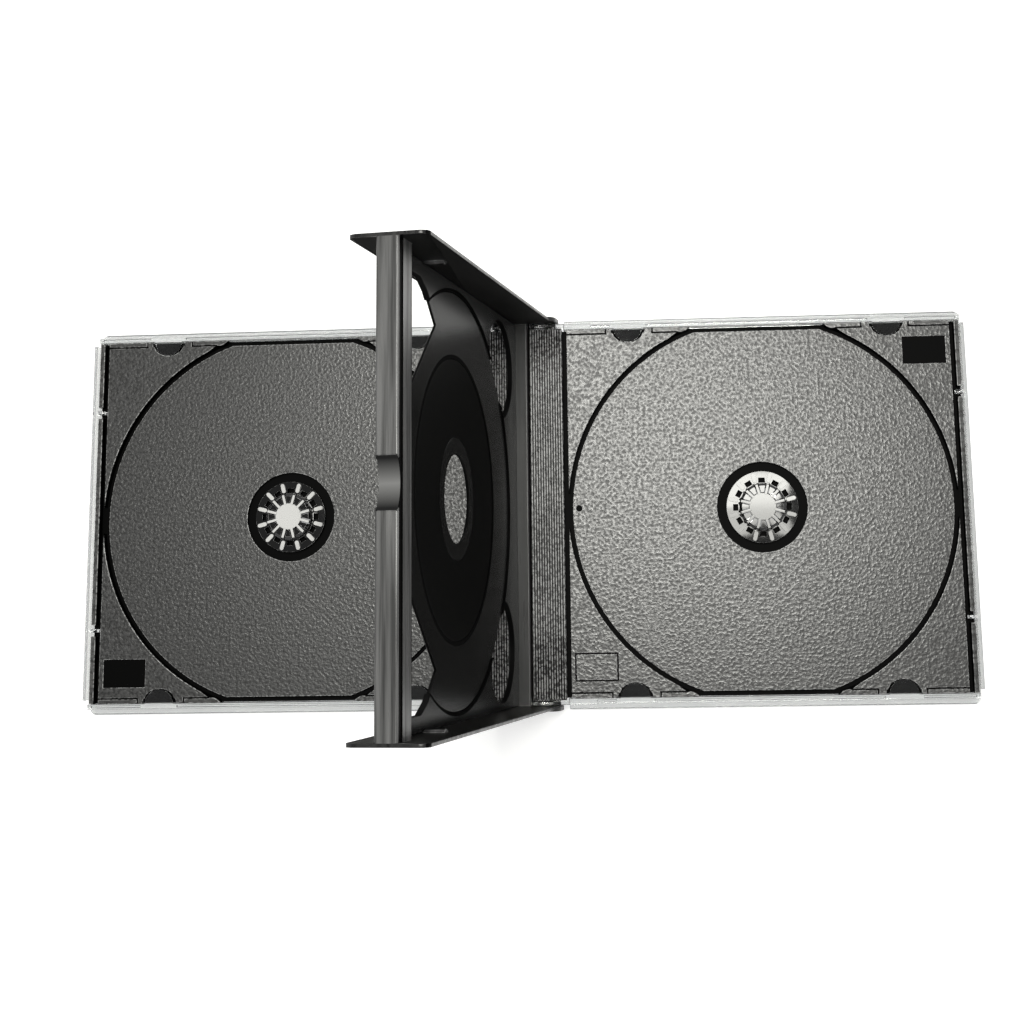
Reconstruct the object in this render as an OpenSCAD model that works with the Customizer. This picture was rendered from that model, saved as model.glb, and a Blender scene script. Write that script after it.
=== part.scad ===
// Double compact disc case, opened flat like a book with its black centre frame standing up.
// Each clear cover holds a dark tray. Both covers hinge on pins in the ears of the centre frame.
// Millimetres. X runs across the open case, Y along the spine and Z up from the table.

/* [Case] */
// Length of the closed case, from the spine to the opening edge
case_l = 142; // [138:0.5:148]
// Width of the closed case, along the spine
case_w = 125; // [122:0.5:130]
// Thickness of the closed case
case_t = 24; // [23:0.5:27]
// Thickness of each cover's plate
plate_t = 1.2; // [1:0.1:1.6]
// Radius of a cover's two outer corners
plate_corner_r = 2; // [0.5:0.5:4]
// Lean of the standing centre frame towards the left cover, in degrees
page_lean = 8; // [0:0.5:9]

/* [Fits] */
// Gap between a closed cover's plate and the frame's edge
close_gap = 0.3; // [0.2:0.05:0.5]
// Gap between a cover's arm and the frame's wall
side_gap = 0.2; // [0.1:0.05:0.3]
// Gap between a tray and the side walls of its cover
tray_gap = 0.7; // [0.3:0.1:0.9]
// Gap between the panel's edges and the frame
panel_gap = 0.2; // [0.1:0.05:0.4]
// Radial play of a hinge pin in its hole
pin_play = 0.05; // [0.03:0.01:0.1]

/* [Hinge] */
// Height of the hinge pins above the spine's outer face
pin_h = 5; // [4.6:0.1:5.1]
// Distance of the hinge pins from the middle plane of the closed case
pin_side = 6; // [5.6:0.1:6.2]
// Radius of a hinge pin
pin_r = 1.9; // [1.5:0.1:2.2]
// Radius of the round end of a cover's arm
boss_r = 3.4; // [2.8:0.1:3.5]
// Thickness of a cover's arm
arm_t = 1.1; // [0.9:0.1:1.3]
// Half width of an arm's neck at the pin
neck_low = 2; // [1.8:0.1:2.4]
// Length of an arm along its side wall
arm_run = 9; // [6:1:14]

/* [Centre frame] */
// Thickness of the frame's two side walls
frame_wall = 1; // [0.8:0.1:1.3]
// How far the side walls stand in from the case's full width
frame_inset = 0.5; // [0.3:0.1:0.8]
// Thickness of the frame's spine wall
spine_t = 1.2; // [1:0.1:1.3]
// Radius of the spine wall's two outer edges
spine_edge_r = 1; // [0.4:0.1:1]
// Half width of the middle rail that the panel stands on
rail_half = 2.3; // [1.8:0.1:2.4]
// Height of the middle rail above the spine's outer face
rail_h = 7.2; // [6:0.1:7.4]
// How far the outer bar and the side walls end short of the opening edge
wall_short = 0.6; // [0.4:0.1:2]
// Radius of the side walls' outer corners
wall_corner_r = 2.5; // [1:0.5:4]
// Height of the hinge ears
ear_h = 10.5; // [9.5:0.5:11.5]
// Radius of the hinge ears' corners
ear_corner_r = 3.4; // [2:0.2:4.4]
// Width of the outer bar
bar_w = 6; // [5:0.5:6.4]
// Depth of the outer bar
bar_d = 10.4; // [8:0.2:12]
// Radius of the outer bar's two front edges
bar_edge_r = 0.6; // [0.3:0.1:1]
// Depth of the shallow groove along both sides of the outer bar
bar_line_d = 0.3; // [0.2:0.05:0.5]
// Width of the shallow groove along the outer bar
bar_line_w = 3; // [2:0.2:4]
// Length of the finger notch in the outer bar
notch_l = 13.6; // [10:0.2:18]
// Depth of the finger notch
notch_d = 2.4; // [1.6:0.1:3]
// Width of the small ribs that hold the panel on both faces
stop_w = 3; // [2:0.5:4]
// How far the small ribs stand in from the side walls
stop_d = 0.9; // [0.6:0.1:1.2]
// Distance of the small ribs from the opening edge
stop_from_end = 33.5; // [20:0.5:60]

/* [Centre panel] */
// Thickness of the panel at its raised rim
panel_t = 1.8; // [1.5:0.1:1.9]
// Distance of the panel's spine end from the frame's middle, towards the left cover
panel_side = 2.4; // [1:0.1:2.4]
// Slope of the panel in the frame, away from the left cover at its outer end, in degrees
panel_tilt = 0.4; // [0:0.1:0.6]
// Depth of the disc recess on each face
panel_recess = 0.5; // [0.3:0.05:0.6]
// Further depth of the middle of the recess
panel_middle = 0.12; // [0.05:0.01:0.2]
// Radius of the panel's disc recess
panel_disc_r = 58.4; // [57:0.2:60]
// Radius of the deeper middle of the recess
panel_middle_r = 39.2; // [34:0.2:44]
// Outer radius of the flat ring round the middle hole
panel_ring_r = 17.1; // [15:0.1:20]
// Radius of the middle hole
panel_hole_r = 12.5; // [11:0.1:14]
// Width of the plain band beside the outer bar
panel_outer_band = 11.6; // [9:0.2:13]
// Distance of the finger holes' centre from the spine
finger_h = 27.6; // [26:0.2:30]
// Distance of the finger holes' centre from the panel's side edge
finger_edge = 17.4; // [17.2:0.2:20]
// Radius of the finger holes
finger_r = 15.6; // [13:0.2:15.8]
// Distance from a finger hole's centre to its straight side
finger_flat = 7; // [4:0.5:9]
// Length of a corner window's outer side
window_l = 31; // [26:0.2:33]
// Depth of a corner window across the panel
window_d = 23.2; // [18:0.2:25]
// Distance of a corner window from the panel's side edge
window_edge = 4.2; // [2.8:0.2:5]

/* [Cover] */
// Thickness of a cover's side walls
wall_t = 1.6; // [1.2:0.1:1.9]
// Height of a cover's side walls
wall_h = 6.8; // [6.4:0.1:7.2]
// Distance from the spine to the start of a cover's plate
plate_start = 12.8; // [11.6:0.2:14]
// Thickness of a cover's end wall
end_t = 1; // [0.8:0.1:1.3]
// Height of a cover's end wall
end_h = 8.5; // [7.6:0.1:8.6]
// Gap between the end wall and the side walls at each corner
end_notch = 1.3; // [0.8:0.1:2]
// Radius of the half-moon tabs
tab_r = 4.6; // [3.6:0.2:5.2]
// Thickness of the half-moon tabs
tab_t = 0.9; // [0.7:0.1:1.2]
// Width of the long shallow groove on top of a side wall
top_line_w = 0.6; // [0.4:0.1:0.8]
// Depth of that groove, which stops at the tabs
top_line_d = 0.5; // [0.3:0.1:0.8]
// Length of the pegs on the end wall
peg_l = 2.2; // [1.6:0.1:2.4]
// Width of the pegs on the end wall
peg_w = 1.1; // [0.8:0.1:1.4]

/* [Tray] */
// Height of the tray's rim above the cover's outer face
rim_v = 6.4; // [6.2:0.1:6.6]
// Thickness of the tray's walls and floors
tray_t = 1.2; // [0.9:0.1:1.3]
// Radius of the disc recess
recess_r = 62.1; // [61.8:0.1:62.3]
// Depth of the disc recess
recess_d = 1.6; // [1.2:0.1:2]
// How far the recess floor's straight sides stand in from the tray's edges
floor_in = 1; // [0.8:0.1:1.6]
// Width of the deep groove round the foot of the recess
ring_w = 1.4; // [1:0.1:2]
// Depth of that groove below the recess floor
ring_d = 1.4; // [0.8:0.1:1.5]
// Depth of the shallow grooves and outlines
line_d = 0.4; // [0.2:0.05:0.5]
// Width of the fine outlines
line_w = 0.5; // [0.3:0.1:0.7]
// Distance of the disc's centre from the spine
disc_h = 75.75; // [75.25:0.1:76.25]
// Distance of the ribbed bar's edge from the spine
ribs_start = 1.7; // [1.5:0.1:2]
// Width of the ribbed bar
ribs_w = 10.6; // [10:0.1:11]
// Number of ribs on the bar
rib_n = 13; // [9:1:15]
// Rounding of the ribs' two ends
rib_end_r = 0.9; // [0.5:0.1:1]
// Height of the ribs
rib_h = 0.5; // [0.3:0.05:0.6]
// Width of the deep groove beside the ribbed bar
groove_w = 1.6; // [1.4:0.1:2.4]
// Width of the deep groove beside the end lip
end_groove_w = 1.6; // [1.3:0.1:2]
// Width of the end lip
lip_w = 1.5; // [1.2:0.1:1.8]
// Height of the deep grooves' floors above the cover's outer face
groove_v = 3.2; // [2.8:0.1:3.6]
// Distance of the half-moon recesses from the disc's centre line
moon_x = 41.8; // [40:0.2:44]
// Radius of the half-moon recesses
moon_r = 6; // [5.6:0.1:6.6]
// Depth of a half-moon recess in from the tray's edge
moon_d = 4; // [3.4:0.1:4.6]
// Length of the two small marking fields
field_l = 13.8; // [12:0.2:15]
// Width of the two small marking fields
field_w = 8.9; // [8:0.1:10]
// Distance of the pegs' notches from the middle line
peg_y = 35.6; // [32:0.2:38]
// Length of the pegs' notches
peg_notch = 3.6; // [3:0.1:5]

/* [Hub] */
// Radius of the hub that holds a disc
hub_r = 7.4; // [7.2:0.05:7.45]
// Height of the hub's straight wall above the disc's seat
hub_h = 2.2; // [1.8:0.1:2.4]
// Height of the hub's rounded crown
crown_h = 0.8; // [0.5:0.1:0.9]
// Radius of the centre button
button_r = 4.2; // [3.6:0.1:4.6]
// Radius of the disc's seat
seat_r = 11.4; // [10.8:0.1:12]
// Height of the disc's seat above the recess floor
seat_h = 0.5; // [0.3:0.05:0.7]
// Outer radius of the deep ring round the seat
moat_r = 14.4; // [13.6:0.1:15.4]
// Number of fingers round the hub
finger_n = 12; // [10:1:12]
// Width of the slots round each finger
slot_w = 0.3; // [0.25:0.05:0.4]
// Depth of the slot round the centre button
button_slot_d = 0.8; // [0.5:0.1:1]
// Width of the arms between the fingers
hub_arm_w = 0.9; // [0.7:0.1:1.2]
// Slope of the seat and of the fingers' tops, in degrees
hub_slope = 3; // [2:0.5:6]
// Width of the square holes at the fingers' feet
foot_w = 2.1; // [1.4:0.1:2.2]
// Length of the square holes at the fingers' feet
foot_l = 1.6; // [1.2:0.1:2]
// Width of the low ribs between the square holes
ray_w = 1.3; // [1:0.1:1.7]
// Height of the low ribs above the seat's inner edge
ray_h = 0.3; // [0.2:0.05:0.6]
// Wall of the hub's fingers
hub_wall = 1.2; // [0.9:0.1:1.3]

/* [Hidden] */
$fn = 96;
eps = 0.01;

// Half thicknesses of the closed case and of the frame between the two plates
half_t = case_t / 2;
page_half = half_t - plate_t - close_gap;
// Height of the pins above a cover's outer face
pin_v = half_t - pin_side;
// The panel's ribs start this far from its faces and end clear of the closed covers' side walls
stop_gap = 0.15;
stop_far = half_t - wall_h - side_gap;

// Places across the width, from the outside in
frame_out = case_w / 2 - frame_inset;
frame_in = frame_out - frame_wall;
arm_out = frame_in - side_gap;
arm_in = arm_out - arm_t;
wall_step = 0.3;
wall_out = arm_out - wall_step;
wall_in = wall_out - wall_t;
tray_half = wall_in - tray_gap;
ribs_half = arm_in - side_gap;
panel_half = frame_in - panel_gap;

// Places along the length, from the spine
wall_top = case_l - wall_short;
bar_low = wall_top - bar_d;
panel_low = rail_h + panel_gap;
panel_high = bar_low - panel_gap;
window_top = panel_high - panel_outer_band;
finger_y = panel_half - finger_edge;
stop_h = case_l - stop_from_end;
// Middle of the sloping panel, across the frame, where the small ribs hold it
stop_mid = (stop_h - panel_low) * tan(panel_tilt) - panel_side;
end_in = case_l - end_t;
lip_gap = 0.2;
lip_end = end_in - lip_gap;
lip_start = lip_end - lip_w;
body_end = lip_start - end_groove_w;
ribs_end = ribs_start + ribs_w;
body_start = ribs_end + groove_w;

// Heights in the tray
deck_v = rim_v - tray_t;
floor_v = rim_v - recess_d;
foot_v = plate_t + side_gap;
groove_low = groove_v - tray_t;
seat_v = floor_v + seat_h;
hub_top = seat_v + hub_h + crown_h;
moat_v = floor_v - 1.6;
ring_low = floor_v - ring_d;

// How the open case rests: both hinges, and the slight tilt that the lean gives the right cover
pin_x = pin_side * cos(page_lean);
pin_rise = 2 * pin_side * sin(page_lean);
cover_tilt = asin(pin_rise / (case_l - pin_h));

clear_plastic = [0.86, 0.89, 0.9, 0.4];
tray_grey = [0.34, 0.34, 0.335];
frame_black = [0.13, 0.13, 0.125];

// Places a cover or tray, drawn with the spine at x = 0 and the outer face at z = 0
module right_place() {
    translate([pin_x, 0, pin_v + pin_rise])
        rotate([0, cover_tilt, 0])
            translate([-pin_h, 0, -pin_v])
                children();
}

module left_place() {
    translate([-pin_x, 0, pin_v])
        rotate([0, 0, 180])
            translate([-pin_h, 0, -pin_v])
                children();
}

// Places what is drawn on the frame's own axes: x across its thickness and z away from the spine
module page_place() {
    translate([-pin_x, 0, pin_v])
        rotate([0, -page_lean, 0])
            translate([pin_side, 0, -pin_h])
                children();
}

// Turns a flat outline (length, width) of the panel upright and gives it a thickness about the middle
module upright(thick) {
    rotate([0, -90, 0])
        linear_extrude(height = thick, center = true)
            children();
}

// Turns an outline (across, height) so that it stands from y = from to y = to
module across(from, to) {
    translate([0, to, 0])
        rotate([90, 0, 0])
            linear_extrude(height = to - from)
                children();
}

module rounded_box(size, r) {
    translate([r, 0])
        square([size[0] - 2 * r, size[1]]);
    translate([0, r])
        square([size[0], size[1] - 2 * r]);
    for (x = [r, size[0] - r], y = [r, size[1] - r])
        translate([x, y])
            circle(r);
}

// A plate whose corners are round on the far side only
module end_rounded(from, to, half, r) {
    translate([from, -half])
        square([to - from - r, 2 * half]);
    translate([from, r - half])
        square([to - from, 2 * (half - r)]);
    for (s = [-1, 1])
        translate([to - r, s * (half - r)])
            circle(r);
}

// Side view of a cover's hinge arm, with its round end at the pin
module arm_outline() {
    translate([pin_h, pin_v])
        circle(boss_r);
    polygon([
        [pin_h, pin_v - neck_low],
        [plate_start, pin_v - neck_low],
        [plate_start, 0],
        [plate_start + arm_run, 0],
        [plate_start + arm_run, wall_h],
        [plate_start, wall_h],
        [pin_h, pin_v + neck_low]
    ]);
}

// Half-moon tab that reaches in over the tray from the top of a side wall
module moon_tab() {
    difference() {
        cylinder(r = tab_r, h = tab_t);
        translate([-tab_r - eps, 0, -eps])
            cube([2 * (tab_r + eps), tab_r + eps, tab_t + 2 * eps]);
    }
}

// One side wall, with a shallow groove along its top that stops at the tabs
module side_wall() {
    stops = [plate_start + arm_run, disc_h - moon_x - moon_r, disc_h - moon_x + moon_r,
        disc_h + moon_x - moon_r, disc_h + moon_x + moon_r, end_in - end_notch];
    difference() {
        translate([plate_start, wall_in, 0])
            cube([end_in - plate_start, wall_t, wall_h]);
        for (i = [0, 2, 4])
            translate([stops[i], wall_out - wall_t / 2 - top_line_w / 2, wall_h - top_line_d])
                cube([max(stops[i + 1] - stops[i], 0.5), top_line_w, top_line_d + eps]);
    }
}

module cover() {
    linear_extrude(height = plate_t)
        end_rounded(plate_start, case_l, case_w / 2, plate_corner_r);
    for (s = [0, 1])
        mirror([0, s, 0]) {
            side_wall();
            across(arm_in, arm_out)
                arm_outline();
            translate([pin_h, arm_out - eps, pin_v])
                rotate([-90, 0, 0])
                    cylinder(r = pin_r, h = case_w / 2 - arm_out - side_gap + eps);
            for (m = [-1, 1])
                translate([disc_h + m * moon_x, wall_in + eps, wall_h - tab_t])
                    moon_tab();
            translate([end_in - peg_l, peg_y - peg_w / 2, groove_v + side_gap])
                cube([peg_l + eps, peg_w, rim_v - groove_v - side_gap]);
        }
    translate([end_in, end_notch - wall_in, 0])
        cube([end_t, 2 * (wall_in - end_notch), end_h]);
}

// Section of the tray along its length: ribbed bar, deep groove, deck, second groove and end lip
module tray_section() {
    polygon([
        [ribs_start, deck_v],
        [ribs_end - tray_t, deck_v],
        [ribs_end - tray_t, groove_low],
        [body_start + tray_t, groove_low],
        [body_start + tray_t, deck_v],
        [body_end - tray_t, deck_v],
        [body_end - tray_t, groove_low],
        [lip_start + tray_t / 2, groove_low],
        [lip_start + tray_t / 2, foot_v],
        [lip_end, foot_v],
        [lip_end, rim_v],
        [lip_start, rim_v],
        [lip_start, groove_v],
        [body_end, groove_v],
        [body_end, rim_v],
        [body_start, rim_v],
        [body_start, groove_v],
        [ribs_end, groove_v],
        [ribs_end, rim_v - rib_h],
        [ribs_start, rim_v - rib_h]
    ]);
}

// The ribs, each a little narrower at its top
module ribs_section() {
    pitch = ribs_w / rib_n;
    foot = pitch * 0.8;
    top = pitch * 0.4;
    for (i = [0:rib_n - 1])
        translate([ribs_start + (i + 0.5) * pitch, rim_v - rib_h - eps])
            polygon([[-foot / 2, 0], [foot / 2, 0], [top / 2, rib_h + eps], [-top / 2, rib_h + eps]]);
}

// What the rounding of the ribs' two ends takes away
module rib_ends() {
    for (s = [0, 1])
        mirror([0, s, 0])
            translate([ribs_start - eps, ribs_half - rib_end_r, rim_v - rib_end_r])
                difference() {
                    cube([ribs_w + 2 * eps, rib_end_r + eps, rib_end_r + eps]);
                    translate([-eps, 0, 0])
                        rotate([0, 90, 0])
                            cylinder(r = rib_end_r, h = ribs_w + 4 * eps, $fn = 48);
                }
}

// Everything of the tray between its two deep grooves
module body_box(low, high) {
    translate([body_start, -tray_half, low])
        cube([body_end - body_start, 2 * tray_half, high - low]);
}

module disc_ring(r_out, r_in, low, high) {
    translate([disc_h, 0, low])
        difference() {
            cylinder(r = r_out, h = high - low, $fn = 180);
            translate([0, 0, -eps])
                cylinder(r = r_in, h = high - low + 2 * eps, $fn = 180);
        }
}

// The two flat-sided slices of a circle round the disc's centre that lie farther out than half
module side_slices(r, half) {
    translate([disc_h, 0])
        difference() {
            circle(r, $fn = 180);
            square([2 * r + 1, 2 * half], center = true);
        }
}

// The tray's side walls, which follow the straight sides of the recess floor
module tray_skirt() {
    translate([0, 0, foot_v])
        linear_extrude(height = rim_v - foot_v)
            difference() {
                translate([body_start, -tray_half])
                    square([body_end - body_start, 2 * tray_half]);
                difference() {
                    translate([body_start - 1, tray_t - tray_half])
                        square([body_end - body_start + 2, 2 * (tray_half - tray_t)]);
                    side_slices(recess_r + tray_t + wall_step, tray_half - floor_in - tray_t);
                }
            }
}

module moon_place() {
    for (sx = [-1, 1], sy = [-1, 1])
        translate([disc_h + sx * moon_x, sy * (tray_half + moon_r - moon_d), 0])
            children();
}

// Revolved section of the hub: deep ring, seat, finger wall, crown and centre button
module hub_section() {
    polygon([
        [0, hub_top - crown_h / 2 - hub_wall],
        [hub_r - hub_wall, seat_v + hub_h - hub_wall],
        [hub_r - hub_wall, moat_v - tray_t],
        [moat_r + tray_t, moat_v - tray_t],
        [moat_r + tray_t, floor_v - tray_t / 2],
        [moat_r + tray_t, floor_v],
        [moat_r, floor_v],
        [moat_r, moat_v],
        [seat_r, moat_v],
        [seat_r, seat_v - (seat_r - hub_r) * tan(hub_slope)],
        [hub_r, seat_v],
        [hub_r, seat_v + hub_h],
        [hub_r - crown_h, hub_top - (hub_r - crown_h - button_r) * tan(hub_slope)],
        [button_r + slot_w, hub_top - slot_w * tan(hub_slope)],
        [button_r + slot_w, hub_top - button_slot_d],
        [button_r, hub_top - button_slot_d],
        [button_r, hub_top],
        [0, hub_top]
    ]);
}

module hub() {
    ray_low = 2 * wall_step + (seat_r - hub_r) * tan(hub_slope);
    arm_low = button_slot_d + wall_step;
    arm_step = 0.05;
    translate([disc_h, 0, 0])
        difference() {
            rotate_extrude()
                hub_section();
            for (i = [0:finger_n - 1])
                rotate([0, 0, i * 360 / finger_n]) {
                    translate([hub_r + wall_step, -foot_w / 2, moat_v + eps])
                        cube([foot_l, foot_w, hub_top]);
                    rotate([0, 0, 180 / finger_n])
                        arm_slots();
                }
        }
    for (i = [0:finger_n - 1])
        translate([disc_h, 0, 0])
            rotate([0, 0, (i + 0.5) * 360 / finger_n]) {
                translate([button_r - wall_step, arm_step - hub_arm_w / 2, hub_top - arm_low])
                    cube([hub_r - button_r, hub_arm_w - 2 * arm_step, arm_low + arm_step]);
                translate([hub_r + 2 * wall_step + ray_w / 2, 0, seat_v - ray_low])
                    ray(seat_r - hub_r - 3 * wall_step - ray_w, ray_h + ray_low);
            }
}

// The two slots along one arm of the hub, from the centre button out through the finger wall
module arm_slots() {
    for (s = [-1, 1])
        translate([button_r + slot_w / 2, s * (hub_arm_w + slot_w) / 2 - slot_w / 2, moat_v + eps])
            cube([hub_r + wall_step - button_r - slot_w / 2, slot_w, hub_top]);
}

// Low rib with round ends, from its first round end outward
module ray(length, height) {
    translate([0, -ray_w / 2, 0])
        cube([length, ray_w, height]);
    for (x = [0, length])
        translate([x, 0, 0])
            cylinder(r = ray_w / 2, h = height, $fn = 32);
}

// Fine outline of one ledge along the tray's edge, from one end to the other, closed at one of them
module ledge_lines(from, to, closed_at) {
    ledge_w = 1.3;
    for (sx = [-1, 1], sy = [-1, 1])
        translate([disc_h, 0, rim_v - line_d])
            mirror([sx < 0 ? 1 : 0, 0, 0])
                mirror([0, sy < 0 ? 1 : 0, 0]) {
                    translate([from, tray_half - ledge_w - line_w, 0])
                        cube([to - from, line_w, line_d + eps]);
                    translate([closed_at - line_w / 2, tray_half - ledge_w - line_w, 0])
                        cube([line_w, ledge_w + line_w + eps, line_d + eps]);
                }
}

// The two small marking fields, left bare: one sunk, one outlined
module field_cuts() {
    far_x = disc_h + 53.55;
    near_x = disc_h - 53.85;
    field_y = 49.3;
    translate([far_x - field_l / 2, field_y - field_w / 2, rim_v - line_d])
        cube([field_l, field_w, line_d + eps]);
    translate([near_x - field_l / 2, -field_y - field_w / 2, rim_v - line_d])
        difference() {
            cube([field_l, field_w, line_d + eps]);
            translate([line_w, line_w, -eps])
                cube([field_l - 2 * line_w, field_w - 2 * line_w, line_d + 3 * eps]);
        }
}

module tray() {
    difference() {
        union() {
            across(-tray_half, tray_half)
                tray_section();
            for (s = [0, 1])
                mirror([0, s, 0])
                    translate([ribs_start, tray_half - eps, deck_v])
                        cube([ribs_w, ribs_half - tray_half + eps, tray_t - rib_h]);
            tray_skirt();
            across(-ribs_half, ribs_half)
                ribs_section();
            intersection() {
                body_box(0, rim_v);
                union() {
                    disc_ring(recess_r + tray_t, recess_r - ring_w - tray_t, ring_low - tray_t, rim_v);
                    disc_ring(recess_r - ring_w, moat_r + tray_t / 2, floor_v - tray_t, floor_v);
                    moon_place()
                        translate([0, 0, groove_low])
                            cylinder(r = moon_r + tray_t, h = rim_v - groove_low);
                }
            }
        }
        disc_cut();
        translate([0, 0, -eps])
            linear_extrude(height = rim_v + 1)
                side_slices(recess_r, tray_half - floor_in);
        moon_place()
            translate([0, 0, groove_v])
                cylinder(r = moon_r, h = rim_v);
        ledge_lines(25.4, 34, 33.8);
        ledge_lines(48.8, body_end - disc_h, 49);
        field_cuts();
        rib_ends();
        for (s = [-1, 1])
            translate([lip_start - eps, s * peg_y - peg_notch / 2, groove_v])
                cube([lip_w + 2 * eps, peg_notch, rim_v]);
    }
    hub();
    side_ledge();
}

// Low ledge along the foot of the recess floor's two straight sides, a little inside the tray's edges
module side_ledge() {
    ledge_v = 3;
    ledge_step = 0.05;
    floor_half = tray_half - floor_in;
    translate([0, 0, foot_v + 2 * ledge_step])
        linear_extrude(height = ledge_v - foot_v - 2 * ledge_step)
            intersection() {
                side_slices(recess_r + wall_step, floor_half - wall_step);
                translate([0, ledge_step - tray_half])
                    square([case_l, 2 * (tray_half - ledge_step)]);
            }
}

// The disc recess: its floor, the groove round its foot, the hub's place and the gate mark
module disc_cut() {
    gate_x = -58.7;
    gate_y = 0.7;
    disc_ring(recess_r, moat_r + tray_t - eps, floor_v, rim_v + 1);
    disc_ring(recess_r, recess_r - ring_w, ring_low, rim_v);
    translate([disc_h, 0, deck_v - recess_d - tray_t])
        cylinder(r = moat_r + tray_t, h = rim_v);
    translate([disc_h + gate_x, gate_y, floor_v - line_d / 2])
        cylinder(r = 1, h = 1);
}

module centre_frame_body() {
    difference() {
        union() {
            translate([-page_half, -frame_out, spine_edge_r])
                cube([2 * page_half, 2 * frame_out, spine_t - spine_edge_r]);
            across(-frame_out, frame_out)
                spine_edge();
            for (s = [0, 1])
                mirror([0, s, 0]) {
                    across(frame_in, frame_out)
                        side_outline();
                    across(frame_in, case_w / 2)
                        translate([-half_t, 0])
                            rounded_box([case_t, ear_h], ear_corner_r);
                    panel_stop(-stop_far, stop_mid - panel_t / 2 - stop_gap);
                    panel_stop(stop_mid + panel_t / 2 + stop_gap, stop_far);
                }
            across(-frame_out, frame_out)
                bar_outline();
            across(-frame_out, frame_out)
                rail_outline();
        }
        for (m = [-1, 1], s = [-1, 1])
            translate([m * pin_side, s * (frame_in - 1), pin_h])
                rotate([-90 * s, 0, 0])
                    cylinder(r = pin_r + pin_play, h = case_w);
        finger_notch();
    }
}

// The spine wall's outer skin, with its two long edges rounded
module spine_edge() {
    translate([spine_edge_r - page_half, 0])
        square([2 * (page_half - spine_edge_r), spine_t]);
    for (s = [-1, 1])
        intersection() {
            translate([s * (page_half - spine_edge_r), spine_edge_r])
                circle(spine_edge_r);
            translate([-page_half, 0])
                square([2 * page_half, spine_t]);
        }
}

// One side wall from the side: square at the spine and rounded at its outer corners
module side_outline() {
    translate([-page_half, spine_edge_r])
        square([2 * page_half, wall_top - wall_corner_r - spine_edge_r]);
    translate([wall_corner_r - page_half, 0])
        square([2 * (page_half - wall_corner_r), wall_top]);
    for (s = [-1, 1])
        translate([s * (page_half - wall_corner_r), wall_top - wall_corner_r])
            circle(wall_corner_r);
}

// Section of the middle rail, with its two upper edges rounded
module rail_outline() {
    edge_r = 0.5;
    translate([-rail_half, spine_t - eps])
        square([2 * rail_half, rail_h - edge_r - spine_t + eps]);
    translate([edge_r - rail_half, spine_t - eps])
        square([2 * (rail_half - edge_r), rail_h - spine_t + eps]);
    for (s = [-1, 1])
        translate([s * (rail_half - edge_r), rail_h - edge_r])
            circle(edge_r);
}

// Section of the outer bar, with round front edges
module bar_outline() {
    difference() {
        union() {
            translate([-bar_w / 2, bar_low])
                square([bar_w, bar_d - bar_edge_r]);
            translate([bar_edge_r - bar_w / 2, bar_low])
                square([bar_w - 2 * bar_edge_r, bar_d]);
            for (s = [-1, 1])
                translate([s * (bar_w / 2 - bar_edge_r), wall_top - bar_edge_r])
                    circle(bar_edge_r);
        }
        for (s = [-1, 1])
            translate([s * bar_w / 2 - bar_line_d, wall_top - bar_edge_r - bar_line_w])
                square([2 * bar_line_d, bar_line_w]);
    }
}

// Small round-topped rib across the inside of a side wall, from one place to another across the frame
module panel_stop(from, to) {
    stop_r = (pow(stop_w / 2, 2) + pow(stop_d, 2)) / (2 * stop_d);
    translate([from, 0, stop_h])
        rotate([0, 90, 0])
            linear_extrude(height = to - from)
                intersection() {
                    translate([0, frame_in - stop_d + stop_r])
                        circle(stop_r);
                    translate([-stop_w, frame_in - stop_d - 1])
                        square([2 * stop_w, stop_d + 1 + frame_wall / 2]);
                }
}

module finger_notch() {
    notch_r = (pow(notch_l / 2, 2) + pow(notch_d, 2)) / (2 * notch_d);
    translate([-bar_w, 0, wall_top - notch_d + notch_r])
        rotate([0, 90, 0])
            cylinder(r = notch_r, h = 2 * bar_w, $fn = 180);
}

// Corner window of the panel: its long side runs beside the outer band
module window_outline() {
    window_y = panel_half - window_edge;
    polygon([
        [window_top, window_y - window_l],
        [window_top, window_y],
        [window_top - window_d * 0.34, window_y],
        [window_top - window_d * 0.6, window_y - window_l * 0.09],
        [window_top - window_d, window_y - window_l * 0.34]
    ]);
}

// Finger hole of the panel: a circle with its disc side cut straight
module finger_outline() {
    aim = atan2(-finger_y, disc_h - finger_h);
    translate([finger_h, finger_y])
        difference() {
            circle(finger_r);
            rotate(aim)
                translate([finger_flat, -finger_r])
                    square([finger_r, 2 * finger_r]);
        }
}

// What a disc recess of this depth takes off one face of the panel
module panel_face_cut(depth) {
    translate([panel_t / 2 - depth, 0, 0])
        rotate([0, 90, 0])
            linear_extrude(height = depth + eps)
                children();
}

module centre_panel_body() {
    difference() {
        upright(panel_t)
            end_rounded(panel_low, panel_high, panel_half, wall_corner_r);
        upright(2 * panel_t) {
            translate([disc_h, 0])
                circle(panel_hole_r);
            for (s = [0, 1])
                mirror([0, s]) {
                    window_outline();
                    finger_outline();
                }
        }
        for (m = [0, 1])
            mirror([m, 0, 0]) {
                panel_face_cut(panel_recess)
                    intersection() {
                        translate([-disc_h, 0])
                            circle(panel_disc_r, $fn = 180);
                        translate([-window_top, -panel_half])
                            square([window_top - panel_low, 2 * panel_half]);
                    }
                panel_face_cut(panel_recess + panel_middle)
                    translate([-disc_h, 0])
                        difference() {
                            circle(panel_middle_r, $fn = 180);
                            circle(panel_ring_r);
                        }
            }
    }
}

module left_cover() {
    color(clear_plastic)
        left_place()
            cover();
}

module left_tray() {
    color(tray_grey)
        left_place()
            tray();
}

module right_cover() {
    color(clear_plastic)
        right_place()
            cover();
}

module right_tray() {
    color(tray_grey)
        right_place()
            tray();
}

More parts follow.
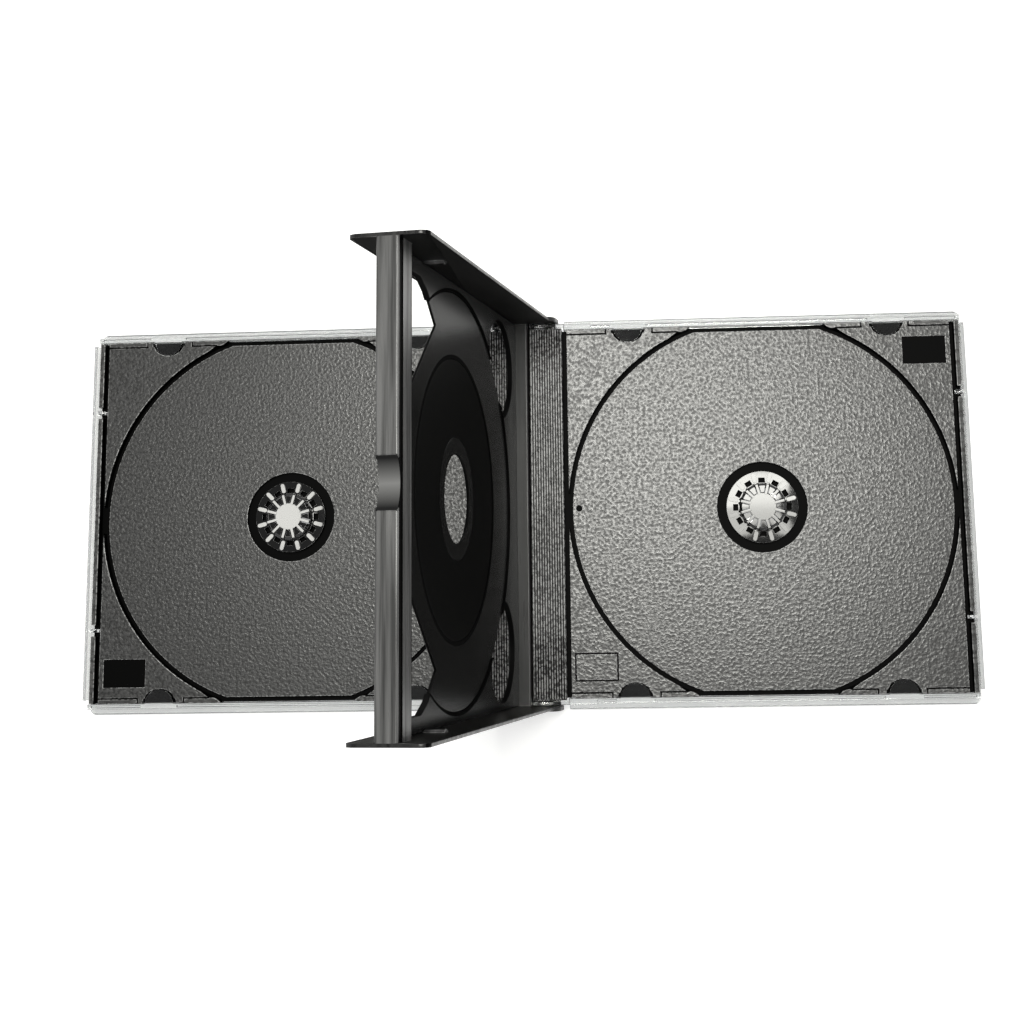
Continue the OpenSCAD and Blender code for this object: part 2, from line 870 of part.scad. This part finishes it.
module centre_frame() {
    color(frame_black)
        page_place()
            centre_frame_body();
}

module centre_panel() {
    color(frame_black)
        page_place()
            translate([-panel_side, 0, panel_low])
                rotate([0, panel_tilt, 0])
                    translate([0, 0, -panel_low])
                        centre_panel_body();
}

left_cover();
left_tray();
right_cover();
right_tray();
centre_frame();
centre_panel();
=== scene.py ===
import math

import bmesh
import bpy
from mathutils import Euler, Matrix


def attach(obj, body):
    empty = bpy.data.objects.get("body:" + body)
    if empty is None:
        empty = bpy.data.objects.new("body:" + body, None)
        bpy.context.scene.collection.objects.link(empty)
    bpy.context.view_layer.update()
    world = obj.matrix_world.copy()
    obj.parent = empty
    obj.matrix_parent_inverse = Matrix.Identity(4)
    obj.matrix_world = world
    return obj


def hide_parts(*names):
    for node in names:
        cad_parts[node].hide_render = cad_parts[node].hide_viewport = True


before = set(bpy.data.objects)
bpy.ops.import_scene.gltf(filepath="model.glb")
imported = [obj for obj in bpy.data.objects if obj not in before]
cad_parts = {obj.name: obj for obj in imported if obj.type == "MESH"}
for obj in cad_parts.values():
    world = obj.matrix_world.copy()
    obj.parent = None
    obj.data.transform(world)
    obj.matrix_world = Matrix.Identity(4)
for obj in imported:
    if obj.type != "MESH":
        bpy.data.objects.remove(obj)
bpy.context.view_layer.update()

# Viewpoint
# The photograph was taken from above the open case, a little right of its middle
# and nearer its front edge, so the standing frame hides part of the left tray.

picture_px = 1024
focal_px = 1608.035
centre_px = (575, 320)
sensor_mm = 36.0
eye = (0.0542128, -0.0293834, 0.5256605)
tilt, roll, turn = 0.1732, 0.0732, -0.0167
lens = bpy.data.cameras.new("viewpoint")
lens.sensor_width = sensor_mm
lens.lens = sensor_mm * focal_px / picture_px
lens.shift_x = (picture_px / 2 - centre_px[0]) / picture_px
lens.shift_y = (centre_px[1] - picture_px / 2) / picture_px
lens.clip_start = 0.01
lens.clip_end = 20.0
viewpoint = bpy.data.objects.new("viewpoint", lens)
facing = Matrix.Rotation(turn, 4, "Z") @ Matrix.Rotation(roll, 4, "Y") @ Matrix.Rotation(tilt, 4, "X")
viewpoint.matrix_world = Matrix.Translation(eye) @ facing
scene = bpy.context.scene
scene.collection.objects.link(viewpoint)
scene.camera = viewpoint
scene.view_settings.view_transform = "Standard"

# White table and studio light
# A matt white table that keeps a faint shadow, three soft boxes in a row overhead, a
# small lamp on the left, and a white surround that darkens towards the ceiling.

table_tone = 0.8
table_lift = 0.5
table_half = 4.0
table_level = -0.0004
surround_fill = 0.6
ceiling_tone = 0.3
ceiling_start = 0.5
ceiling_end = 0.85
lamp_white = (1.0, 0.995, 0.94)


def feed(tree, value, socket):
    """Sets a socket to a number, or links another socket to it."""
    if isinstance(value, (int, float)):
        socket.default_value = value
    else:
        tree.links.new(value, socket)


def combine(tree, operation, first, second=0):
    """The result of one Math node for two sockets or numbers."""
    node = tree.nodes.new("ShaderNodeMath")
    node.operation = operation
    for socket, value in zip(node.inputs, (first, second)):
        feed(tree, value, socket)
    return node.outputs[0]


def stretch(tree, value, low, high, to_low, to_high, curve="LINEAR"):
    """Maps a value from one range to another, and keeps it inside."""
    node = tree.nodes.new("ShaderNodeMapRange")
    node.interpolation_type = curve
    tree.links.new(value, node.inputs["Value"])
    for label, number in (("From Min", low), ("From Max", high), ("To Min", to_low), ("To Max", to_high)):
        feed(tree, number, node.inputs[label])
    return node.outputs["Result"]


def split(tree, vector):
    """The X, Y and Z of a place."""
    node = tree.nodes.new("ShaderNodeSeparateXYZ")
    tree.links.new(vector, node.inputs[0])
    return node.outputs


def seen_directly(tree):
    """1 for what the camera, a mirror or clear plastic sees, 0 for what lights the case."""
    path = tree.nodes.new("ShaderNodeLightPath")
    shown = combine(tree, "MAXIMUM", path.outputs["Is Camera Ray"], path.outputs["Is Glossy Ray"])
    return combine(tree, "MAXIMUM", shown, path.outputs["Is Transmission Ray"])


table_white = bpy.data.materials.new("table white")
table_white.use_nodes = True
tree = table_white.node_tree
tree.nodes.clear()
out = tree.nodes.new("ShaderNodeOutputMaterial")
matt = tree.nodes.new("ShaderNodeBsdfDiffuse")
matt.inputs["Color"].default_value = (table_tone, table_tone, table_tone, 1)
glow = tree.nodes.new("ShaderNodeEmission")
glow.inputs["Strength"].default_value = table_lift
lifted = tree.nodes.new("ShaderNodeAddShader")
pick = tree.nodes.new("ShaderNodeMixShader")
tree.links.new(matt.outputs[0], lifted.inputs[0])
tree.links.new(glow.outputs[0], lifted.inputs[1])
tree.links.new(seen_directly(tree), pick.inputs["Fac"])
tree.links.new(matt.outputs[0], pick.inputs[1])
tree.links.new(lifted.outputs[0], pick.inputs[2])
tree.links.new(pick.outputs[0], out.inputs["Surface"])

table_corners = [(-table_half, -table_half, table_level), (table_half, -table_half, table_level),
                 (table_half, table_half, table_level), (-table_half, table_half, table_level)]
table_mesh = bpy.data.meshes.new("table")
table_mesh.from_pydata(table_corners, [], [(0, 1, 2, 3)])
table_mesh.materials.append(table_white)
table = bpy.data.objects.new("table", table_mesh)
scene.collection.objects.link(table)

surround = bpy.data.worlds.new("surround")
surround.use_nodes = True
tree = surround.node_tree
background = tree.nodes["Background"]
where = tree.nodes.new("ShaderNodeTexCoord")
height = split(tree, where.outputs["Generated"])["Z"]
ceiling = stretch(tree, height, ceiling_start, ceiling_end, 1.0, ceiling_tone, "SMOOTHSTEP")
tree.links.new(ceiling, background.inputs["Color"])
tree.links.new(stretch(tree, seen_directly(tree), 0, 1, surround_fill, 1), background.inputs["Strength"])
scene.world = surround

for name, spot, width, depth, power in (("soft box", (0.055, 0.13, 1.0), 0.41, 0.146, 4.1),
                                        ("dim soft box", (0.055, -0.0015, 1.0), 0.41, 0.117, 1.9),
                                        ("rear soft box", (0.0, 0.36, 1.0), 0.4, 0.2, 3.7),
                                        ("small lamp", (-0.33, 0.057, 1.0), 0.076, 0.076, 0.32)):
    lamp = bpy.data.lights.new(name, "AREA")
    lamp.shape = "RECTANGLE"
    lamp.size = width
    lamp.size_y = depth
    lamp.energy = power
    lamp.color = lamp_white
    overhead = bpy.data.objects.new(name, lamp)
    overhead.location = spot
    scene.collection.objects.link(overhead)

# Clear covers
# Two injection-moulded covers in crystal polystyrene, polished and colourless, with
# the faint handling haze that such plastic always carries. Their light grey tint is
# painted shade that dims what shows through them, and the darker tint on their rounded
# edges is painted shade for the dark lines there.

merge_gap = 0.000001
flat_angle = math.radians(0.2)
edge_angle = math.radians(35)
round_steps = 3
clear_round = 0.0001
widest_round = 0.0003
plate_level = 0.0014
plate_side = 0.0622
end_wall = 0.1409
haze_range = (0.45, 0.75)


def moulded(node, name, body, materials, rounding, which=lambda face: 0, fit=lambda corner: None):
    """One closed skin laid over a CAD node that it stands for. rounding(edge) gives each sharp
    edge's radius, which(face) a face's place in the materials, whose last one goes on the
    rounded edges, and fit(corner) shifts a corner a little where the photograph asks it."""
    skin_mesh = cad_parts[node].data.copy()
    skin_mesh.name = name
    skin_mesh.materials.clear()
    for material in materials:
        skin_mesh.materials.append(material)
    shape = bmesh.new()
    shape.from_mesh(skin_mesh)
    bmesh.ops.remove_doubles(shape, verts=shape.verts, dist=merge_gap)
    bmesh.ops.dissolve_limit(shape, angle_limit=flat_angle, verts=shape.verts, edges=shape.edges,
                             use_dissolve_boundaries=False, delimit={"NORMAL"})
    for face in shape.faces:
        face.smooth = True
        face.material_index = which(face)
    share = shape.edges.layers.float.new("bevel_weight_edge")
    for edge in shape.edges:
        if edge.calc_face_angle(0) > edge_angle:
            edge[share] = rounding(edge) / widest_round
            edge.smooth = edge[share] > 0
    for corner in shape.verts:
        fit(corner)
    shape.to_mesh(skin_mesh)
    shape.free()
    piece = bpy.data.objects.new(name, skin_mesh)
    scene.collection.objects.link(piece)
    bevel = piece.modifiers.new("edge rounding", "BEVEL")
    bevel.width = widest_round
    bevel.segments = round_steps
    bevel.limit_method = "WEIGHT"
    bevel.use_clamp_overlap = False
    bevel.material = len(materials) - 1
    level = piece.modifiers.new("flat faces", "WEIGHTED_NORMAL")
    level.mode = "FACE_AREA"
    level.weight = 50
    level.keep_sharp = True
    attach(piece, body)
    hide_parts(node)
    return piece


def group(name, inputs, outputs):
    """A finish that materials share, with its own ends."""
    made = bpy.data.node_groups.new(name, "ShaderNodeTree")
    for label, kind, value in inputs:
        socket = made.interface.new_socket(label, in_out="INPUT", socket_type=kind)
        if value is not None:
            socket.default_value = value
    for label, kind in outputs:
        made.interface.new_socket(label, in_out="OUTPUT", socket_type=kind)
    return made, made.nodes.new("NodeGroupInput"), made.nodes.new("NodeGroupOutput")


def noise(tree, vector, scale, detail, rough=0.5):
    """A cloudy pattern from 0 to 1."""
    node = tree.nodes.new("ShaderNodeTexNoise")
    node.inputs["Scale"].default_value = scale
    node.inputs["Detail"].default_value = detail
    node.inputs["Roughness"].default_value = rough
    tree.links.new(vector, node.inputs["Vector"])
    return node.outputs["Fac"]


def polystyrene(name, values):
    """A moulded plastic, with the sockets of its shader set by name."""
    made = bpy.data.materials.new(name)
    made.use_nodes = True
    for label, value in values.items():
        made.node_tree.nodes["Principled BSDF"].inputs[label].default_value = value
    return made


def finish_on(material, shared, values, drives, axes=None):
    """Places a shared finish in a material, turned to a piece's own axes where they are given.
    drives pairs an output of the finish with the socket of the plastic that it sets."""
    tree = material.node_tree
    spot = tree.nodes.new("ShaderNodeTexCoord").outputs["Object"]
    if axes:
        own = tree.nodes.new("ShaderNodeMapping")
        own.inputs["Location"].default_value = axes[0]
        own.inputs["Rotation"].default_value = axes[1]
        tree.links.new(spot, own.inputs["Vector"])
        spot = own.outputs["Vector"]
    placed = tree.nodes.new("ShaderNodeGroup")
    placed.node_tree = shared
    for label, value in values.items():
        placed.inputs[label].default_value = value
    tree.links.new(spot, placed.inputs["Place"])
    for label, driven in drives.items():
        tree.links.new(placed.outputs[label], tree.nodes["Principled BSDF"].inputs[driven])
    return placed.outputs


haze, haze_in, haze_out = group(
    "handling haze",
    [("Place", "NodeSocketVector", None), ("Polished", "NodeSocketFloat", 0.02),
     ("Dull", "NodeSocketFloat", 0.1)],
    [("Roughness", "NodeSocketFloat")])
cloud = noise(haze, haze_in.outputs["Place"], scale=60.0, detail=5.0, rough=0.6)
haze.links.new(stretch(haze, cloud, *haze_range, haze_in.outputs["Polished"], haze_in.outputs["Dull"]),
               haze_out.inputs["Roughness"])

pin_from_end = 0.005
pin_level = 0.006
pin_x = 0.0059416
right_pin_z = 0.0076701
right_tilt = math.radians(0.6985)
turned_x = pin_x * math.cos(right_tilt) - right_pin_z * math.sin(right_tilt)
turned_z = pin_x * math.sin(right_tilt) + right_pin_z * math.cos(right_tilt)
leaf_place = {
    "left": ((pin_from_end - pin_x, 0, 0), (0, 0, math.pi)),
    "right": ((pin_from_end - turned_x, 0, pin_level - turned_z), (0, -right_tilt, 0)),
}


def own_axes(side):
    """From the case's axes to a leaf's own: X from the spine, Z from the cover's outer face."""
    shift, angles = leaf_place[side]
    return Matrix.Translation(shift) @ Euler(angles).to_matrix().to_4x4()


def cover_rounding(edge, axes):
    """Wide along the plate's long edges, whose painted shade shows as a darker line, and none on the end
    wall.
    """
    middle = axes @ ((edge.verts[0].co + edge.verts[1].co) / 2)
    if middle.x > end_wall:
        return 0
    return widest_round if abs(middle.y) > plate_side and middle.z < plate_level else clear_round


# The dark tint of the rounded edges is painted shade for the dark lines along clear edges.
clear_edge_shade = polystyrene("clear edge painted shade", {"Base Color": (0.2, 0.21, 0.21, 1), "Roughness": 0.15,
                                        "IOR": 1.5, "Transmission Weight": 1.0})

for side in ("left", "right"):
    # The light grey base colour is painted shade that dims what is seen through the cover.
    clear = polystyrene(side + " clear cover", {"Base Color": (0.77, 0.78, 0.775, 1), "IOR": 1.5,
                                                "Transmission Weight": 1.0})
    finish_on(clear, haze, {"Polished": 0.01, "Dull": 0.06}, {"Roughness": "Roughness"})
    axes = own_axes(side)
    moulded(side + "_cover", side + "_clear_cover", side + "_leaf", [clear, clear_edge_shade],
            lambda edge: cover_rounding(edge, axes))

# Disc trays
# Two trays in dark grey polystyrene. The upper faces carry a sparkling spark-eroded
# grain. The hub and the ribbed bar are smooth and gloss black. The grooves are dead
# black, which is painted shade, and the rounded edges carry a lighter grained tone,
# which is a painted highlight.

rim_level = 0.0064
recess_level = 0.0048
ribs_end = 0.0124
strip_start = 0.1385
level_slack = 0.00003
grain_range = (0.36, 0.64)
grain_roughness = (0.42, 0.2)
strip_roughness = 0.6
smooth_roughness = 0.06
edge_highlight_range = (0.4, 0.6)
edge_highlight_tone = (0.05, 0.38)


def near(tree, value, middle, reach):
    """1 where a value lies within reach of a middle, and 0 elsewhere."""
    node = tree.nodes.new("ShaderNodeMath")
    node.operation = "COMPARE"
    for socket, number in zip(node.inputs, (value, middle, reach)):
        feed(tree, number, socket)
    return node.outputs[0]


skin, skin_in, skin_out = group(
    "tray skin",
    [("Place", "NodeSocketVector", None), ("Dark", "NodeSocketFloat", 0.001),
     ("Light", "NodeSocketFloat", 0.058), ("Smooth", "NodeSocketFloat", 0.004)],
    [("Tone", "NodeSocketColor"), ("Roughness", "NodeSocketFloat"), ("Height", "NodeSocketFloat"),
     ("Edge Highlight", "NodeSocketColor")])
along = split(skin, skin_in.outputs["Place"])
faces = combine(skin, "MAXIMUM", near(skin, along["Z"], rim_level, level_slack),
                near(skin, along["Z"], recess_level, level_slack))
grained = combine(skin, "MULTIPLY", faces, combine(skin, "GREATER_THAN", along["X"], ribs_end))
grain = noise(skin, skin_in.outputs["Place"], scale=1050.0, detail=1.0)
tone = stretch(skin, grain, *grain_range, skin_in.outputs["Dark"], skin_in.outputs["Light"])
blend = skin.nodes.new("ShaderNodeMix")
skin.links.new(grained, blend.inputs["Factor"])
skin.links.new(skin_in.outputs["Smooth"], blend.inputs["A"])
skin.links.new(tone, blend.inputs["B"])
skin.links.new(blend.outputs["Result"], skin_out.inputs["Tone"])
on_strip = combine(skin, "GREATER_THAN", along["X"], strip_start)
coarse = combine(skin, "MAXIMUM", stretch(skin, grain, *grain_range, *grain_roughness),
                 combine(skin, "MULTIPLY", on_strip, strip_roughness))
skin.links.new(stretch(skin, grained, 0, 1, smooth_roughness, coarse), skin_out.inputs["Roughness"])
skin.links.new(combine(skin, "MULTIPLY", grain, grained), skin_out.inputs["Height"])
# A lighter grained tone for the rounded edges: a painted highlight.
skin.links.new(stretch(skin, grain, *edge_highlight_range, *edge_highlight_tone), skin_out.inputs["Edge Highlight"])

line_level = 0.006
deep_level = 0.0047
hub_reach = 0.0125
hub_round = 0.00004
deep_round = 0.0002
edge_round = 0.00012
tray_side = 0.058
tray_wider = 0.0006
outline_near = 0.0563
outline_far = 0.057
disc_centre = 0.07575


def lowest(face, axes):
    """Height of a face's lowest corner above the cover's outer face."""
    return min((axes @ corner.co).z for corner in face.verts)


def in_painted_shade(face, axes):
    """Grooves, outlines and the sunk field, which take dead black painted shade instead of the grain."""
    level = lowest(face, axes)
    beyond_ribs = min((axes @ corner.co).x for corner in face.verts) > ribs_end - level_slack
    return level < deep_level or beyond_ribs and abs(level - line_level) < level_slack


def tray_rounding(edge, axes):
    """Wide where a grained face drops into a deep groove, none inside the grooves."""
    dark = [in_painted_shade(face, axes) for face in edge.link_faces]
    if all(dark) or not edge.is_convex:
        return 0
    middle = axes @ ((edge.verts[0].co + edge.verts[1].co) / 2)
    near_hub = math.hypot(middle.x - disc_centre, middle.y) < hub_reach
    deep = min(lowest(face, axes) for face in edge.link_faces) < deep_level
    return hub_round if near_hub else deep_round if deep else edge_round


def widen_tray(corner, axes):
    """Sets the tray's edges and their outlines farther out, close to the cover's walls."""
    outward = tray_wider if corner.co.y > 0 else -tray_wider
    on_face = (axes @ corner.co).z > line_level - level_slack
    outline = on_face and outline_near < abs(corner.co.y) < outline_far
    if outline or tray_side < abs(corner.co.y) < tray_side + tray_wider:
        corner.co.y += outward


# Dead black, matt and without reflection: painted shade for grooves, outlines and recesses.
painted_shade_black = polystyrene("painted shade black", {"Base Color": (0.001, 0.001, 0.001, 1), "Roughness": 0.5,
                                            "Specular IOR Level": 0.03})
# The rounded edges of the trays get a painted highlight, a lighter grained tone.
tray_edge_highlight = polystyrene("tray edge highlight", {"Roughness": 0.2})
finish_on(tray_edge_highlight, skin, {}, {"Edge Highlight": "Base Color"})

for side in ("left", "right"):
    grey = polystyrene(side + " tray grey", {})
    finish = finish_on(grey, skin, {}, {"Tone": "Base Color", "Roughness": "Roughness"}, leaf_place[side])
    tree = grey.node_tree
    bump = tree.nodes.new("ShaderNodeBump")
    bump.inputs["Strength"].default_value = 0.8
    bump.inputs["Distance"].default_value = 0.00014
    tree.links.new(finish["Height"], bump.inputs["Height"])
    tree.links.new(bump.outputs["Normal"], tree.nodes["Principled BSDF"].inputs["Normal"])
    axes = own_axes(side)
    moulded(side + "_tray", side + "_disc_tray", side + "_leaf", [grey, painted_shade_black, tray_edge_highlight],
            lambda edge: tray_rounding(edge, axes),
            lambda face: int(in_painted_shade(face, axes)), lambda corner: widen_tray(corner, axes))

# Centre frame
# The standing frame is one moulding in black polystyrene. Its bar and spine are rubbed
# along their length, and the bar's lighter grey is painted sheen, which the rounded edges
# share. Its side walls stay smooth and black, the groove along the bar is dead black as
# painted shade, and a painted highlight lights the middle of the finger notch.

lean = math.radians(8)
pin_side = 0.006
page_place = (Matrix.Translation((-pin_x, 0, pin_level)) @ Matrix.Rotation(-lean, 4, "Y")
              @ Matrix.Translation((pin_side, 0, -pin_from_end))).inverted()
notch_half = 0.0069
notch_depth = 0.0025
bar_top = 0.1414
bar_line_side = 0.0026
bar_line_low = 0.1377
bar_line_high = 0.1409
bar_foot = 0.13
between_walls = 0.061
frame_round = edge_round * 1.5
facing_sideways = 0.9
facing_up = 0.5
streak_scale = (1.0, 0.03, 1.0)
streak_range = (0.35, 0.65)
streak_roughness = (0.4, 0.25)
highlight_reach = 0.006
highlight_tone = (0.16, 0.006)

rubbed_and_sheen, rubbed_and_sheen_in, rubbed_and_sheen_out = group(
    "rubbed streaks and painted sheen along its length",
    [("Place", "NodeSocketVector", None), ("Dark", "NodeSocketFloat", 0.02),
     ("Light", "NodeSocketFloat", 0.1)],
    [("Tone", "NodeSocketColor"), ("Roughness", "NodeSocketFloat")])
drawn = rubbed_and_sheen.nodes.new("ShaderNodeMapping")
drawn.inputs["Scale"].default_value = streak_scale
rubbed_and_sheen.links.new(rubbed_and_sheen_in.outputs["Place"], drawn.inputs["Vector"])
streaks = noise(rubbed_and_sheen, drawn.outputs["Vector"], scale=700.0, detail=3.0, rough=0.6)
from_middle = combine(rubbed_and_sheen, "ABSOLUTE", split(rubbed_and_sheen, rubbed_and_sheen_in.outputs["Place"])["Y"])
inside = combine(rubbed_and_sheen, "LESS_THAN", from_middle, between_walls)
shade = stretch(rubbed_and_sheen, streaks, *streak_range, rubbed_and_sheen_in.outputs["Dark"], rubbed_and_sheen_in.outputs["Light"])
rubbed_and_sheen.links.new(combine(rubbed_and_sheen, "MULTIPLY", shade, inside), rubbed_and_sheen_out.inputs["Tone"])
rubbed_and_sheen.links.new(stretch(rubbed_and_sheen, streaks, *streak_range, *streak_roughness), rubbed_and_sheen_out.inputs["Roughness"])

frame_blacks = []
# The bar's high Light tone is painted sheen over its rubbed streaks.
for name, dark, light in (("frame black", 0.005, 0.016), ("bar black with painted sheen", 0.01, 0.12)):
    rubbed_or_sheen_black = polystyrene(name, {})
    finish_on(rubbed_or_sheen_black, rubbed_and_sheen, {"Dark": dark, "Light": light},
              {"Tone": "Base Color", "Roughness": "Roughness"})
    frame_blacks.append(rubbed_or_sheen_black)
frame_black, bar_sheen_black = frame_blacks

# A painted highlight in the middle of the finger notch, fading to black towards its ends.
notch_highlight, notch_highlight_in, notch_highlight_out = group(
    "painted notch highlight",
    [("Place", "NodeSocketVector", None)],
    [("Tone", "NodeSocketColor")])
from_middle = combine(notch_highlight, "ABSOLUTE", split(notch_highlight, notch_highlight_in.outputs["Place"])["Y"])
notch_highlight.links.new(stretch(notch_highlight, from_middle, 0, highlight_reach, *highlight_tone), notch_highlight_out.inputs["Tone"])
notch_black = polystyrene("notch black", {"Roughness": 0.3, "Specular IOR Level": 0.12})
finish_on(notch_black, notch_highlight, {}, {"Tone": "Base Color"})

frame_side = polystyrene("frame side black", {"Base Color": (0.005, 0.005, 0.005, 1), "Roughness": 0.3,
                                              "Specular IOR Level": 0.12})


def in_bar_line(face):
    """The shallow groove along both sides of the bar."""
    middle = page_place @ face.calc_center_median()
    heights = [(page_place @ corner.co).z for corner in face.verts]
    return abs(middle.x) > bar_line_side and min(heights) > bar_line_low and max(heights) < bar_line_high


def frame_finish(face):
    """1 for the side walls, 2 for the groove along the bar, 3 for the finger notch, 4 for the bar,
    and 0 for the rest."""
    middle = page_place @ face.calc_center_median()
    if abs(face.normal.y) > facing_sideways:
        return 1
    if in_bar_line(face):
        return 2
    in_notch = abs(middle.y) < notch_half and middle.z > bar_top - notch_depth and face.normal.z > facing_up
    return 3 if in_notch else 4 if middle.z > bar_foot else 0


def frame_rounding(edge):
    """None on the edges of the groove along the bar, and the same on all others."""
    return 0 if any(in_bar_line(face) for face in edge.link_faces) else frame_round


# The last material, the bar's painted sheen, also goes on the frame's rounded edges.
moulded("centre_frame", "standing_centre_frame", "page",
        [frame_black, frame_side, painted_shade_black, notch_black, bar_sheen_black], frame_rounding, frame_finish)

# Centre panel
# The panel that snaps into the frame, in the same black polystyrene. It has a low sheen,
# and a painted sheen makes it lighter at its foot and far end. The recess steps, the
# deeper middle and two rings are dead black, which is painted shade.

panel_start = 0.0074
panel_side = 0.0024
panel_tilt = math.radians(0.4)
panel_place = (Matrix.Translation((-panel_side, 0, panel_start))
               @ Matrix.Rotation(panel_tilt, 4, "Y")).inverted()
middle_side = 0.0003
upright_below = 0.5
disc_shade_ring = 0.0586
disc_shade_ring_half = 0.0006
middle_shade_ring = 0.0398
middle_shade_ring_half = 0.0007
recess_top = 0.1192
foot_sheen_range = (0.036, 0.012)
end_sheen_range = (0.02, 0.05)
panel_roughness = (0.24, 1.0)

panel_skin, panel_in, panel_out = group(
    "panel skin",
    [("Place", "NodeSocketVector", None), ("Dark", "NodeSocketFloat", 0.002),
     ("Light", "NodeSocketFloat", 0.025)],
    [("Tone", "NodeSocketColor"), ("Roughness", "NodeSocketFloat")])
spot = split(panel_skin, panel_in.outputs["Place"])
dark, light = panel_in.outputs["Dark"], panel_in.outputs["Light"]
rise = combine(panel_skin, "SUBTRACT", spot["Z"], disc_centre)
reach = combine(panel_skin, "SQRT", combine(panel_skin, "ADD", combine(panel_skin, "MULTIPLY", rise, rise),
                                            combine(panel_skin, "MULTIPLY", spot["Y"], spot["Y"])))
# Two dead black rings: painted shade lines along the edges of the recess.
shade_rings = combine(panel_skin, "MAXIMUM", near(panel_skin, reach, disc_shade_ring, disc_shade_ring_half),
                near(panel_skin, reach, middle_shade_ring, middle_shade_ring_half))
shaded_rings = combine(panel_skin, "MULTIPLY", shade_rings, combine(panel_skin, "LESS_THAN", spot["Z"], recess_top))
# Painted sheen: lighter towards the panel's foot and its far end.
painted_sheen_foot = stretch(panel_skin, spot["Z"], *foot_sheen_range, dark, light)
painted_sheen_end = stretch(panel_skin, spot["Y"], *end_sheen_range, dark, light)
painted_sheen_tone = combine(panel_skin, "MAXIMUM", painted_sheen_foot, painted_sheen_end)
unshaded = combine(panel_skin, "SUBTRACT", 1, shaded_rings)
panel_skin.links.new(combine(panel_skin, "MULTIPLY", painted_sheen_tone, unshaded), panel_out.inputs["Tone"])
panel_skin.links.new(stretch(panel_skin, shaded_rings, 0, 1, *panel_roughness), panel_out.inputs["Roughness"])

panel_black = polystyrene("panel black", {"Specular IOR Level": 0.05})
finish_on(panel_black, panel_skin, {}, {"Tone": "Base Color", "Roughness": "Roughness"},
          (page_place.to_translation(), page_place.to_euler()))


def in_panel_recess(face):
    """The upright steps of the recess, and the deeper middle, which take dead black painted shade."""
    level = abs((panel_place @ page_place @ face.calc_center_median()).x)
    upright = abs(face.normal.x) < upright_below
    return int(upright or level < middle_side)


moulded("centre_panel", "standing_centre_panel", "page",
        [panel_black, painted_shade_black, panel_black], lambda edge: edge_round, in_panel_recess)
